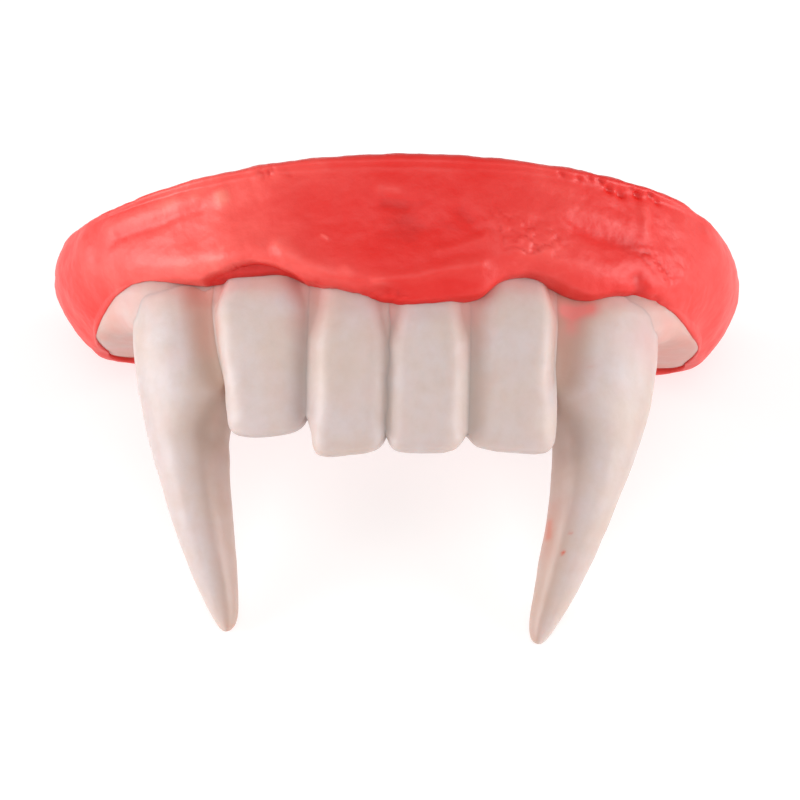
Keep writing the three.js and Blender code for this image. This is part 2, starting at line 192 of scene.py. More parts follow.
# a closed loop round the tray: the lip side from left to right, the right end, the palate side back, the left end
def loopStations():
    count, ends = fineness["along"], fineness["ends"]
    shares = [-1 + 2 * i / count for i in range(count + 1)]
    endLength = flangeLengths[-1]["length"]
    loop = []
    for i, share in enumerate(shares):
        middle, out = archAt(share)
        length = math.copysign(along(flangeLengths, abs(share), "length", "share"), share)
        loop.append({"base": i, "share": share, "middle": middle, "out": out, "inward": 0.0, "arc": length})
    turns = [math.pi * k / ends for k in range(1, ends)]
    for turn in turns:
        out = Vector((math.cos(turn), math.sin(turn), 0))
        loop.append({
            "base": count, "share": 1.0, "middle": archAt(1)[0], "out": out, "inward": smooth(0, math.pi, turn),
            "arc": endLength + trayHalf * turn,
        })
    for i, share in reversed(list(enumerate(shares))):
        middle, out = archAt(share)
        length = math.copysign(endLength + trayHalf * math.pi, share)
        loop.append({"base": i, "share": share, "middle": middle, "out": -out, "inward": 1.0, "arc": length})
    for turn in turns:
        out = Vector((math.cos(turn), math.sin(turn), 0))
        loop.append({
            "base": 0, "share": -1.0, "middle": archAt(-1)[0], "out": out, "inward": smooth(math.pi, 0, turn),
            "arc": -endLength - trayHalf * (math.pi - turn),
        })
    return loop


# A closed mesh whose section goes round that loop. Each section starts and ends over the middle of the tray,
# where the two sides share their points. It also gives back what each point came from.
def sweepLoop(name, sectionAt):
    points, sources, rows, shared = [], [], [], {}
    for station in loopStations():
        section = sectionAt(station)
        row = []
        for k, (outward, up) in enumerate(section):
            onMiddle = k in (0, len(section) - 1)
            key = (station["base"], k) if onMiddle else (id(station), k)
            if key not in shared:
                shared[key] = len(points)
                spot = station["middle"] + station["out"] * outward
                points.append(Vector((spot.x, spot.y, up)))
                sources.append((station, k))
            row.append(shared[key])
        rows.append(row)
    faces = []
    for i, row in enumerate(rows):
        following = rows[(i + 1) % len(rows)]
        for k in range(len(row) - 1):
            corners = [row[k], row[k + 1], following[k + 1], following[k]]
            kept = [c for j, c in enumerate(corners) if c != corners[j - 1]]
            if len(set(kept)) > 2:
                faces.append(kept)
    return meshFrom(name, points, faces), sources


def meshFrom(name, points, faces):
    mesh = bpy.data.meshes.new(name)
    mesh.from_pydata(points, [], faces)
    mesh.update()
    mesh.shade_smooth()
    return mesh


# moves each point along its normal, then stands the mesh where the frame has it
def finishMesh(mesh, shifts, marks):
    normals = [v.normal.copy() for v in mesh.vertices]
    for vertex, normal, shift in zip(mesh.vertices, normals, shifts):
        vertex.co += normal * shift
    for name, values in marks.items():
        mesh.attributes.new(name, "FLOAT", "POINT").data.foreach_set("value", values)
    mesh.transform(standing)
    mesh.update()
    volume = sum(
        p.area * p.normal.dot(mesh.vertices[p.vertices[0]].co) for p in mesh.polygons
    )
    if volume < 0:
        mesh.flip_normals()


def addPiece(mesh, node, material):
    piece = bpy.data.objects.new(mesh.name, mesh)
    bpy.context.scene.collection.objects.link(piece)
    mesh.materials.append(material)
    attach(piece, "root")
    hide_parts(node)
    print("made", mesh.name, len(mesh.polygons), "faces")
    return piece


# how near a point of a face lies to a line drawn on it, as a soft mark from 0 to 1
def nearness(path, reach, a, b):
    nearest = 1e9
    for i, (x, y) in enumerate(path):
        if i == 0:
            nearest = (a - x) ** 2 + (b - y) ** 2
            continue
        px, py = path[i - 1]
        dx, dy = x - px, y - py
        t = min(max(((a - px) * dx + (b - py) * dy) / (dx * dx + dy * dy), 0.0), 1.0)
        nearest = min(nearest, (a - px - t * dx) ** 2 + (b - py - t * dy) ** 2)
    return math.exp(-nearest / (reach * reach)) if nearest < 9 * reach * reach else 0.0


# sRGB hex to the linear colour that a socket holds
def toLinear(hexCode):
    parts = [int(hexCode[i:i + 2], 16) / 255 for i in (1, 3, 5)]
    return [p / 12.92 if p <= 0.04045 else ((p + 0.055) / 1.055) ** 2.4 for p in parts] + [1.0]


# adds a node with its settings; an input is a value, or the output that it is linked to
def addNode(tree, kind, inputs=None, **settings):
    node = tree.nodes.new(kind)
    for key, value in settings.items():
        setattr(node, key, value)
    for key, value in (inputs or {}).items():
        if isinstance(value, bpy.types.NodeSocket):
            tree.links.new(value, node.inputs[key])
        else:
            node.inputs[key].default_value = value
    return node


def newMaterial(name):
    material = bpy.data.materials.new(name)
    material.use_nodes = True
    material.node_tree.nodes.clear()
    return material, material.node_tree


# GUM
gumLine = [
    {"tooth": "left_fang", "beyond": 1.5, "height": 0.07},
    {"tooth": "left_fang", "beyond": 1.05, "height": 0.155},
    {"tooth": "left_fang", "beyond": 0.65, "height": 0.232},
    {"tooth": "left_fang", "beyond": 0.15, "height": 0.278},
    {"tooth": "left_fang", "beyond": -0.25, "height": 0.248},
    {"tooth": "left_lateral_incisor", "beyond": 0.5, "height": 0.2},
    {"tooth": "left_lateral_incisor", "beyond": 0.3, "height": 0.225},
    {"tooth": "left_lateral_incisor", "beyond": 0, "height": 0.214},
    {"tooth": "left_lateral_incisor", "beyond": -0.35, "height": 0.212},
    {"tooth": "left_central_incisor", "beyond": 0.5, "height": 0.135},
    {"tooth": "left_central_incisor", "beyond": 0.05, "height": 0.1},
    {"tooth": "left_central_incisor", "beyond": -0.3, "height": 0.05},
    {"tooth": "right_central_incisor", "beyond": -0.4, "height": 0.02},
    {"tooth": "right_central_incisor", "beyond": 0.1, "height": 0.034},
    {"tooth": "right_lateral_incisor", "beyond": -0.5, "height": 0.085},
    {"tooth": "right_lateral_incisor", "beyond": -0.2, "height": 0.2},
    {"tooth": "right_lateral_incisor", "beyond": 0.1, "height": 0.246},
    {"tooth": "right_fang", "beyond": -0.6, "height": 0.15},
    {"tooth": "right_fang", "beyond": -0.15, "height": 0.203},
    {"tooth": "right_fang", "beyond": 0.2, "height": 0.208},
    {"tooth": "right_fang", "beyond": 0.6, "height": 0.174},
    {"tooth": "right_fang", "beyond": 1.0, "height": 0.106},
    {"tooth": "right_fang", "beyond": 1.5, "height": 0.07},
]
gumEdge = [{"at": -1.0, "height": 0.05}]
gumEdge += [dict(row, at=shareBy(teethTable[row["tooth"]], row["beyond"])) for row in gumLine]
gumEdge += [{"at": 1.0, "height": 0.05}]

# the rim: its height, and how far out the flange stands there
rimLine = [
    {"at": -1.0, "height": 0.775, "reach": 1.0},
    {"at": -0.8, "height": 0.77, "reach": 1.0},
    {"at": -0.6, "height": 0.805, "reach": 1.0},
    {"at": -0.4, "height": 0.885, "reach": 1.0},
    {"at": -0.2, "height": 0.95, "reach": 1.0},
    {"at": 0.0, "height": 0.983, "reach": 1.0},
    {"at": 0.2, "height": 0.982, "reach": 1.0},
    {"at": 0.4, "height": 0.955, "reach": 1.0},
    {"at": 0.6, "height": 0.915, "reach": 1.0},
    {"at": 0.8, "height": 0.825, "reach": 0.985},
    {"at": 1.0, "height": 0.74, "reach": 0.95},
]

# the flange from its lower edge (rise 0) to its rim (rise 1), as shares of half the tray
flangeShape = [
    {"rise": 0.0, "front": 0.8, "side": 0.3},
    {"rise": 0.02, "front": 0.89, "side": 0.37},
    {"rise": 0.08, "front": 0.96, "side": 0.48},
    {"rise": 0.2, "front": 1.0, "side": 0.66},
    {"rise": 0.36, "front": 0.99, "side": 0.84},
    {"rise": 0.55, "front": 0.95, "side": 0.975},
    {"rise": 0.7, "front": 0.915, "side": 1.0},
    {"rise": 0.82, "front": 0.885, "side": 0.97},
    {"rise": 0.9, "front": 0.87, "side": 0.92},
    {"rise": 0.93, "front": 0.91, "side": 0.9},
    {"rise": 0.97, "front": 0.9, "side": 0.84},
    {"rise": 1.0, "front": 0.82, "side": 0.74},
]

# the palate wall from the underside (rise 0) to its top
palateShape = [
    {"rise": 0.0, "inward": 0.72},
    {"rise": 0.05, "inward": 0.88},
    {"rise": 0.2, "inward": 0.98},
    {"rise": 0.5, "inward": 1.0},
    {"rise": 0.8, "inward": 0.94},
    {"rise": 0.95, "inward": 0.86},
    {"rise": 1.0, "inward": 0.78},
]

# along the arch: how proud the lower lip stands of the teeth (0 is a feathered edge), and how far out the
# white bed reaches
lipTable = [
    {"at": -1.0, "proud": 0.75},
    {"at": -0.7, "proud": 0.45},
    {"at": -0.5, "proud": 0.3},
    {"at": -0.38, "proud": 0.5},
    {"at": -0.3, "proud": 1.0},
    {"at": -0.22, "proud": 0.9},
    {"at": -0.14, "proud": 0.3},
    {"at": 0.0, "proud": 0.35},
    {"at": 0.15, "proud": 0.4},
    {"at": 0.3, "proud": 0.75},
    {"at": 0.42, "proud": 0.6},
    {"at": 0.55, "proud": 0.9},
    {"at": 0.75, "proud": 1.0},
    {"at": 1.0, "proud": 1.0},
]
bedEdge = [
    {"at": 0.0, "reach": 0.52, "drop": 1.6},
    {"at": 0.42, "reach": 0.55, "drop": 1.5},
    {"at": 0.5, "reach": 0.74, "drop": 1.1},
    {"at": 0.6, "reach": 0.72, "drop": 0.3},
    {"at": 0.72, "reach": 0.58, "drop": -0.5},
    {"at": 0.82, "reach": 0.46, "drop": -0.62},
    {"at": 0.91, "reach": 0.3, "drop": -0.68},
    {"at": 1.0, "reach": 0.14, "drop": -0.7},
]

gum = {
    "sideFrom": 0.5,
    "sideTo": 0.85,
    "lipBase": 0.77,     # share of half the tray where a feathered lip meets the teeth
    "lipFeather": 1.1,   # mm over which it thins out
    "lipRound": 0.4,     # mm, its rounding under that
    "endRise": 0.35,     # mm that the palate wall's lower edge rises at the ends
    "rimRound": 0.55,
    "lumps": 0.11,       # mm, hand-modelled unevenness of the master
    "lumpSize": 3.2,
    "grain": 0.022,      # mm, brush marks and dust in the paint
    "grainSize": 0.55,
    "crumbSize": 1.3,
    "fold": 0.16,
}

# What the modeller's tool and the brush left on the face of the flange. A path runs along the arch from its
# midline (mm) and up from the underside (mm). out is in mm, rough is the height (mm) of the crumbs and wrinkles
# there, and tone makes the paint thicker (+) or thinner (-). Two small pale spots are painted highlights, made by a
# negative tone.
gumMarks = [
    {"path": [(-27.5, 8.7), (-22.6, 9.4), (-18.0, 9.9)], "reach": 0.8, "out": 0.2, "tone": -0.16},
    {"path": [(-26.5, 7.4), (-21.5, 8.1), (-17.5, 8.9)], "reach": 0.55, "out": -0.16, "tone": 0.14},
    {"path": [(-15.5, 9.9), (-15.4, 9.5)], "reach": 0.75, "out": 0.26, "tone": -0.34},
    {"path": [(-21.5, 6.4), (-18.0, 6.8)], "reach": 1.8, "out": -0.14, "tone": 0.06},
    {"path": [(-31.5, 7.6), (-30.5, 4.5)], "reach": 1.1, "out": 0.14, "tone": -0.1},
    {"path": [(-28.0, 5.6), (-27.2, 3.6)], "reach": 1.0, "out": 0.12, "tone": -0.14},
    {"path": [(-34.5, 7.6), (-37.5, 5.0)], "reach": 1.6, "out": -0.1, "tone": 0.1},
    {"path": [(-24.0, 3.7), (-18.0, 4.3), (-15.0, 4.6)], "reach": 1.3, "out": 0.16, "tone": -0.08},
    {"path": [(-14.8, 4.1), (-12.1, 4.7), (-9.6, 4.2)], "reach": 1.0, "out": 0.3, "tone": 0.0},
    {"path": [(-12.0, 8.5), (-8.0, 8.0)], "reach": 2.4, "out": -0.14, "tone": 0.1},
    {"path": [(-9.9, 5.1), (-8.2, 3.6), (-5.6, 2.6), (-1.5, 2.1)], "reach": 0.75, "out": 0.34, "tone": -0.26},
    {"path": [(-1.5, 2.1), (1.7, 2.5), (4.6, 3.3), (6.7, 3.8)], "reach": 0.6, "out": 0.26, "tone": -0.16},
    {"path": [(-7.6, 2.0), (-3.6, 1.0), (0.6, 0.8)], "reach": 0.45, "out": -0.14, "rough": 0.08, "tone": 0.0},
    {"path": [(-4.4, 6.6), (0.0, 6.9), (3.6, 6.2)], "reach": 3.0, "out": -0.34, "tone": 0.16},
    # a small bump with a painted highlight on it
    {"path": [(-1.6, 10.0), (-0.3, 9.85)], "reach": 0.6, "out": 0.16, "tone": -0.3},
    {"path": [(-1.1, 8.9), (0.4, 8.7)], "reach": 0.7, "out": -0.16, "tone": 0.1},
    {"path": [(0.6, 7.0), (2.2, 6.4)], "reach": 0.8, "out": -0.08, "tone": 0.05},
    {"path": [(5.2, 8.2), (5.9, 7.5), (6.6, 6.6)], "reach": 0.8, "out": -0.2, "tone": 0.14},
    {"path": [(3.4, 4.8), (5.4, 5.3), (7.2, 6.2)], "reach": 0.4, "out": 0.14, "tone": -0.06},
    {"path": [(8.4, 7.6), (10.6, 6.6), (12.8, 6.2)], "reach": 1.6, "out": 0.06, "rough": 0.12, "tone": -0.02},
    {"path": [(9.2, 5.2), (11.8, 5.2)], "reach": 0.9, "out": 0.1, "rough": 0.1, "tone": -0.08},
    {"path": [(13.0, 8.6), (14.2, 7.6)], "reach": 0.5, "out": 0.14, "tone": -0.08},
    {"path": [(14.8, 7.7), (17.6, 7.3), (20.4, 7.0)], "reach": 1.2, "out": -0.22, "tone": 0.24},
    {"path": [(14.2, 9.2), (17.4, 8.9), (20.2, 8.6)], "reach": 0.8, "out": 0.1, "tone": -0.08},
    {"path": [(22.1, 10.3), (22.0, 8.7)], "reach": 0.6, "out": 0.18, "tone": -0.22},
    {"path": [(22.0, 6.6), (23.4, 5.6), (25.2, 5.0)], "reach": 0.8, "out": -0.08, "rough": 0.13, "tone": 0.08},
    {"path": [(21.2, 4.0), (21.8, 3.0)], "reach": 0.8, "out": -0.2, "tone": 0.22},
    {"path": [(24.0, 2.7), (25.6, 1.9)], "reach": 0.6, "out": 0.0, "rough": 0.12, "tone": 0.12},
    {"path": [(13.2, 4.6), (16.6, 4.2), (19.4, 3.9)], "reach": 1.2, "out": 0.18, "tone": -0.04},
    {"path": [(27.2, 6.0), (29.6, 4.4)], "reach": 1.6, "out": 0.12, "rough": 0.05, "tone": -0.04},
    {"path": [(31.8, 8.2), (34.6, 6.0), (36.6, 3.4)], "reach": 1.4, "out": 0.1, "tone": -0.08},
    # a small painted highlight
    {"path": [(-6.4, 5.95), (-6.0, 5.7)], "reach": 0.16, "out": 0.08, "tone": -0.55},
    {"path": [(-4.4, 3.2), (-4.1, 2.9)], "reach": 0.45, "out": 0.08, "tone": -0.2},
    {"path": [(-1.2, 1.5), (-0.6, 0.5)], "reach": 0.5, "out": -0.1, "tone": 0.06},
    {"path": [(-12.6, 11.6), (-9.6, 11.4)], "reach": 0.6, "out": 0.0, "rough": 0.14, "tone": 0.04},
]

# the lip that overhangs the left lateral tooth: along the arch, how high it lies
lipEdge = [
    {"arc": -17.9, "up": 2.7},
    {"arc": -16.8, "up": 3.2},
    {"arc": -15.2, "up": 3.75},
    {"arc": -13.6, "up": 4.1},
    {"arc": -12.0, "up": 4.15},
    {"arc": -10.4, "up": 3.85},
    {"arc": -9.2, "up": 3.35},
    {"arc": -8.2, "up": 2.6},
]
# depth (mm) the face sinks under the lip, over (mm) the fade, and tone: how much the paint there is darkened, a
# painted shadow
undercut = {"depth": 0.9, "over": 0.25, "tone": 0.75}


# 1 for a place of the face that lies under that lip, falling to 0 over it
def underLip(arc, up):
    if not lipEdge[0]["arc"] < arc < lipEdge[-1]["arc"]:
        return 0.0
    return smooth(0, undercut["over"], along(lipEdge, arc, "up", "arc") - up)


# pits that air bubbles left along the rim, on the right
rimPits = {"from": 14.2, "to": 23.6, "count": 10, "below": 0.8, "scatter": 0.9, "reach": 0.2, "depth": 0.24}
for i in range(rimPits["count"]):
    place = lerp(rimPits["from"], rimPits["to"], i / (rimPits["count"] - 1))
    level = tray["gumHeight"] * along(rimLine, place / flangeLengths[-1]["length"], "height") - rimPits["below"]
    jitter = noise.noise_vector((place, 3.7, 1.3)) * rimPits["scatter"]
    spot = (place + jitter.x, level + jitter.y)
    gumMarks.append({
        "path": [spot, (spot[0] + 0.3, spot[1] - 0.12)], "reach": rimPits["reach"] * (1 + 0.8 * jitter.z),
        "out": -rimPits["depth"] * (1 + jitter.z), "tone": 0.2,
    })
gumMarks.append({
    "path": [(13.6, 12.2), (19.0, 11.9), (24.0, 11.3)], "reach": 0.9, "out": 0.0, "rough": 0.03, "tone": 0.08,
})

faceRises = [(1 - k / fineness["face"]) ** 1.3 for k in range(fineness["face"] + 1)]
frontFace = [along(flangeShape, rise, "front", "rise") for rise in faceRises]
sideFace = [along(flangeShape, rise, "side", "rise") for rise in faceRises]
palateFace = [along(palateShape, rise, "inward", "rise") for rise in faceRises]
wallSteps = 12


# one side of the gum's section: the channel's floor, the wall that faces it, the rim, the outer face and the
# recess for the bed
def gumSide(wall, rim, face, edge, hole):
    bottom, roof = tray["channelBottom"], max(tray["bedTop"], edge + 0.4)
    wallTop = rim - gum["rimRound"]
    points = [(0.0, bottom), (wall * 0.4, bottom), (wall * 0.7, bottom + 0.03), (wall - 0.55, bottom + 0.16)]
    points += [(wall - 0.2, bottom + 0.5)]
    points += [(wall - 0.05, lerp(bottom + 1.0, wallTop, k / wallSteps)) for k in range(wallSteps + 1)]
    top = face[0][0]
    for k in range(1, 5):
        turn = math.pi / 2 * k / 5
        points.append((lerp(wall - 0.05, top, 1 - math.cos(turn)), lerp(wallTop, rim, math.sin(turn))))
    points += face
    points += [(hole + 0.04, edge + 0.02), (hole, edge + 0.2), (hole, lerp(edge, roof, 0.7)), (hole, roof + 0.05)]
    points += [(hole * 0.5, roof + 0.05), (0.0, roof + 0.05)]
    return points


def flangeSide(share):
    side = smooth(gum["sideFrom"], gum["sideTo"], abs(share))
    edge = tray["gumHeight"] * along(gumEdge, share, "height")
    rim = tray["gumHeight"] * along(rimLine, share, "height")
    proud, reach = along(lipTable, share, "proud"), along(rimLine, share, "reach")
    hole = trayHalf * along(bedEdge, abs(share), "reach") + 0.05
    base = max(trayHalf * gum["lipBase"], hole + 0.05) * (1 - side) + (hole + 0.1) * side
    face = []
    for rise, front, flank in zip(faceRises, frontFace, sideFace):
        level = edge + rise * (rim - edge)
        outward = max(lerp(front, flank, side) * trayHalf * reach, hole + 0.35)
        thin = (1 - proud) * math.exp(-(level - edge) / gum["lipFeather"]) * (1 - side)
        under = 1 - min((level - edge) / gum["lipRound"], 1.0)
        face.append((lerp(lerp(outward, base, thin), hole + 0.1, 1 - math.sqrt(1 - under * under)), level))
    return gumSide(trayHalf - tray["flangeWall"], rim, face, edge, hole)


def palateSide(share):
    hole = trayHalf - lerp(1.85, 2.5, smooth(0.55, 0.8, abs(share)))
    edge = gum["endRise"] * smooth(0.7, 0.95, abs(share))
    face = [
        (max(inward * trayHalf, hole + 0.08), lerp(edge, tray["palateHeight"], rise))
        for rise, inward in zip(faceRises, palateFace)
    ]
    return gumSide(trayHalf - tray["palateWall"], tray["palateHeight"], face, edge, hole)


def gumSection(station):
    inward = station["inward"]
    if inward in (0.0, 1.0):
        return palateSide(station["share"]) if inward else flangeSide(station["share"])
    pairs = zip(flangeSide(station["share"]), palateSide(station["share"]))
    return [(lerp(a[0], b[0], inward), lerp(a[1], b[1], inward)) for a, b in pairs]


# how thick the paint lies on the face, from left to right
paintTable = [
    {"arc": -60.0, "paint": 0.7},
    {"arc": -42.0, "paint": 0.74},
    {"arc": -30.0, "paint": 0.72},
    {"arc": -20.0, "paint": 0.42},
    {"arc": -13.0, "paint": 0.46},
    {"arc": -7.0, "paint": 0.72},
    {"arc": 0.0, "paint": 0.95},
    {"arc": 7.0, "paint": 0.86},
    {"arc": 13.0, "paint": 0.7},
    {"arc": 20.0, "paint": 0.94},
    {"arc": 30.0, "paint": 0.84},
    {"arc": 42.0, "paint": 0.78},
    {"arc": 60.0, "paint": 0.7},
]


def makeGum(material):
    mesh, sources = sweepLoop("paintedGum", gumSection)
    faceStart = 5 + wallSteps + 1 + 4
    faceEnd = faceStart + fineness["face"]
    for vertex, (station, k) in zip(mesh.vertices, sources):
        if faceStart <= k <= faceEnd and station["inward"] == 0:
            vertex.co -= station["out"] * undercut["depth"] * underLip(station["arc"], vertex.co.z)
    mesh.update()
    shifts, paint, cover = [], [], []
    for vertex, (station, k) in zip(mesh.vertices, sources):
        spot = vertex.co
        arc, up = station["arc"], spot.z
        onFace = faceStart <= k <= faceEnd
        shift = gum["lumps"] * noise.fractal(spot / gum["lumpSize"], 0.9, 2.1, 3)
        shift += gum["grain"] * noise.noise(spot / gum["grainSize"])
        tone = along(paintTable, max(min(arc, 59.0), -59.0), "paint", "arc")
        if onFace and station["inward"] < 1:
            facing = 1 - station["inward"]
            folds = abs(noise.fractal(spot / gum["crumbSize"], 0.9, 2.2, 2))
            crumbs = 0.8 * noise.noise(spot * 1.7 / gum["crumbSize"]) - smooth(gum["fold"], 0, folds)
            for mark in gumMarks:
                near = nearness(mark["path"], mark["reach"], arc, up)
                shift += (mark["out"] + mark.get("rough", 0.0) * crumbs) * near * facing
                tone += (mark["tone"] - mark.get("rough", 0.0) * crumbs) * near
            # painted shadow under the overhanging lip
            tone += undercut["tone"] * underLip(arc, up)
        shifts.append(shift if k else 0.3 * shift)
        paint.append(tone)
        painted = 0.9 * smooth(0.62, 1.0, (k - 5) / wallSteps)     # it ran a little way into the channel
        bare = k > faceEnd + 3
        cover.append(0.0 if bare else 1.0 if k >= faceStart - 2 else painted)
    # the paint attribute carries the paint's thickness together with the painted shadow under the lip and the painted
    # highlights
    finishMesh(mesh, shifts, {"paint": paint, "cover": cover})
    return addPiece(mesh, "gum", material)


# Marks on the white vinyl, by the level place across (mm) and up (mm) on the side that faces the lips. stain goes
# towards rust, blush towards the paint's pink, and out is in mm.
faceMarks = [
    # painted red reflection of the gum on the bed's right end
    {"path": [(21.5, -0.5), (25.0, 0.6)], "reach": 2.6, "out": 0.0, "stain": 0.0, "blush": 0.24},
    {"path": [(13.9, 1.0), (14.6, 0.9), (16.0, 1.3)], "reach": 0.6, "out": 0.0, "stain": 0.0, "blush": 0.85},
    {"path": [(14.5, 0.5), (14.4, -0.6)], "reach": 0.6, "out": 0.0, "stain": 0.0, "blush": 0.4},
    {"path": [(-0.9, 0.4), (-0.9, -0.8)], "reach": 0.6, "out": 0.0, "stain": 0.0, "blush": 0.35},
    {"path": [(6.0, 0.6), (6.1, -0.6)], "reach": 0.7, "out": 0.0, "stain": 0.0, "blush": 0.16},
    {"path": [(-16.4, 1.6), (-15.6, -1.5), (-15.2, -5.5)], "reach": 0.6, "out": 0.0, "stain": 0.0, "blush": 0.4},
    {"path": [(12.9, -16.1), (12.85, -17.4)], "reach": 0.26, "out": 0.0, "stain": 0.4, "blush": 0.0},
    {"path": [(13.0, -15.2), (12.8, -18.6)], "reach": 0.8, "out": 0.0, "stain": 0.14, "blush": 0.0},
    {"path": [(14.0, -18.9), (14.1, -18.8)], "reach": 0.13, "out": -0.06, "stain": 1.0, "blush": 0.0},
    {"path": [(14.5, -17.2), (14.7, -17.25)], "reach": 0.12, "out": -0.08, "stain": 0.4, "blush": 0.0},
    {"path": [(15.9, -3.6), (16.0, -3.65)], "reach": 0.12, "out": -0.06, "stain": 0.15, "blush": 0.0},
    {"path": [(-13.9, -23.6), (-13.7, -24.6), (-13.4, -25.3)], "reach": 0.12, "out": -0.07, "stain": 0.55, "blush": 0.0},
    {"path": [(-13.7, -24.0), (-13.3, -25.2)], "reach": 0.6, "out": 0.0, "stain": 0.0, "blush": 0.3},
    {"path": [(-1.4, -7.0), (-1.3, -7.1)], "reach": 0.12, "out": -0.06, "stain": 0.25, "blush": 0.0},
    {"path": [(-3.1, -5.7), (-3.0, -5.75)], "reach": 0.1, "out": -0.06, "stain": 0.2, "blush": 0.0},
    {"path": [(-4.0, -8.2), (-3.9, -8.2)], "reach": 0.1, "out": -0.06, "stain": 0.2, "blush": 0.0},
]

# BED
bed = {"under": 0.95, "lumps": 0.09, "lumpSize": 2.6}


def bedSection(station):
    inward = station["inward"]
    share = abs(station["share"])
    reach = lerp(trayHalf * along(bedEdge, share, "reach"), trayHalf - lerp(1.9, 2.55, smooth(0.55, 0.8, share)), inward)
    under = -along(bedEdge, share, "drop")
    atEnd = smooth(0.5, 0.7, share)
    edge = lerp(tray["gumHeight"] * along(gumEdge, station["share"], "height"), 0, inward)
    top = max(tray["bedTop"], edge + 0.35)
    reach += 0.15     # its side lies against the gum
    corner, rise = min(lerp(0.6, 3.0, atEnd), 0.75 * reach), lerp(0.6, max(edge - under, 0.3) + 0.1, atEnd)
    points = [(0.0, top), (reach * 0.6, top), (reach, top), (reach, lerp(top, under + rise, 0.5))]
    for k in range(9):
        turn = math.pi / 2 * k / 8
        points.append((reach - corner * (1 - math.cos(turn)), under + rise * (1 - math.sin(turn))))
    points += [(lerp(reach - corner, 0, k / 14), under) for k in range(1, 15)]
    return points


def makeBed(material):
    mesh, sources = sweepLoop("vinylBed", bedSection)
    shifts, blush = [], []
    for vertex, (station, k) in zip(mesh.vertices, sources):
        shifts.append(bed["lumps"] * noise.fractal(vertex.co / bed["lumpSize"], 0.8, 2.0, 3) if k > 7 else 0.0)
        atEnd = smooth(0.5, 0.7, abs(station["share"]))
        # the bed's pink tint, stronger at the ends, is painted red reflection of the gum
        blush.append(lerp(0.3, 0.42, atEnd) + 0.25 * noise.noise(vertex.co / 1.7))
        blush[-1] += sum(m["blush"] * nearness(m["path"], m["reach"], vertex.co.x, vertex.co.z) for m in faceMarks)
    finishMesh(mesh, shifts, {"blush": blush, "stain": [0.0] * len(shifts), "creaseShade": [0.0] * len(shifts)})
    return addPiece(mesh, "tooth_bed", material)


# TEETH
# from the top of the root (0) to the biting edge (1): width and depth as shares of the tooth's own, and the face as
# a share of half the tray
toothForms = {
    "incisor": [
        {"at": 0.0, "width": 0.9, "depth": 0.84, "face": 0.73},
        {"at": 0.16, "width": 0.96, "depth": 0.92, "face": 0.79},
        {"at": 0.27, "width": 0.99, "depth": 0.98, "face": 0.84},
        {"at": 0.36, "width": 1.0, "depth": 1.0, "face": 0.862},
        {"at": 0.45, "width": 1.0, "depth": 0.99, "face": 0.872},
        {"at": 0.58, "width": 1.02, "depth": 0.94, "face": 0.87},
        {"at": 0.74, "width": 1.04, "depth": 0.82, "face": 0.85},
        {"at": 0.86, "width": 1.02, "depth": 0.68, "face": 0.82},
        {"at": 0.93, "width": 0.97, "depth": 0.56, "face": 0.79},
        {"at": 0.965, "width": 0.89, "depth": 0.44, "face": 0.76},
        {"at": 0.985, "width": 0.78, "depth": 0.32, "face": 0.73},
        {"at": 1.0, "width": 0.55, "depth": 0.14, "face": 0.68},
    ],
    "fang": [
        {"at": 0.0, "width": 0.9, "depth": 0.84, "face": 0.76},
        {"at": 0.08, "width": 1.0, "depth": 0.93, "face": 0.82},
        {"at": 0.17, "width": 1.07, "depth": 1.0, "face": 0.88},
        {"at": 0.28, "width": 1.06, "depth": 1.0, "face": 0.9},
        {"at": 0.4, "width": 0.98, "depth": 0.97, "face": 0.89},
        {"at": 0.5, "width": 0.89, "depth": 0.91, "face": 0.86},
        {"at": 0.6, "width": 0.765, "depth": 0.83, "face": 0.81},
        {"at": 0.7, "width": 0.675, "depth": 0.73, "face": 0.74},
        {"at": 0.78, "width": 0.59, "depth": 0.64, "face": 0.67},
        {"at": 0.85, "width": 0.49, "depth": 0.54, "face": 0.6},
        {"at": 0.91, "width": 0.385, "depth": 0.43, "face": 0.52},
        {"at": 0.95, "width": 0.295, "depth": 0.34, "face": 0.46},
        {"at": 0.98, "width": 0.195, "depth": 0.23, "face": 0.41},
        {"at": 0.995, "width": 0.11, "depth": 0.12, "face": 0.37},
        {"at": 1.0, "width": 0.04, "depth": 0.04, "face": 0.34},
    ],
}

crown = {
    "rootTop": 4.2,        # mm, hidden in the gum
    "groove": 0.15,        # mm, the shallow groove down the inner half of a fang's face
    "grooveAt": 118,       # degrees round the tooth, with its face at 90
    "grooveHalf": 26,
    "topHeight": 3.4,      # mm below the shoulders over which a tooth narrows
    "topNarrow": 0.24,
    "topRound": 1.8,       # mm below the shoulders over which its face falls back
    "topDrop": 0.5,
    # flank: how strongly a fang's inner flank is painted darker, a painted shade
    "flank": 1.25,
    "lumps": 0.05,
    "lumpSize": 2.4,
    "grain": 0.01,
    "grainSize": 0.5,
}

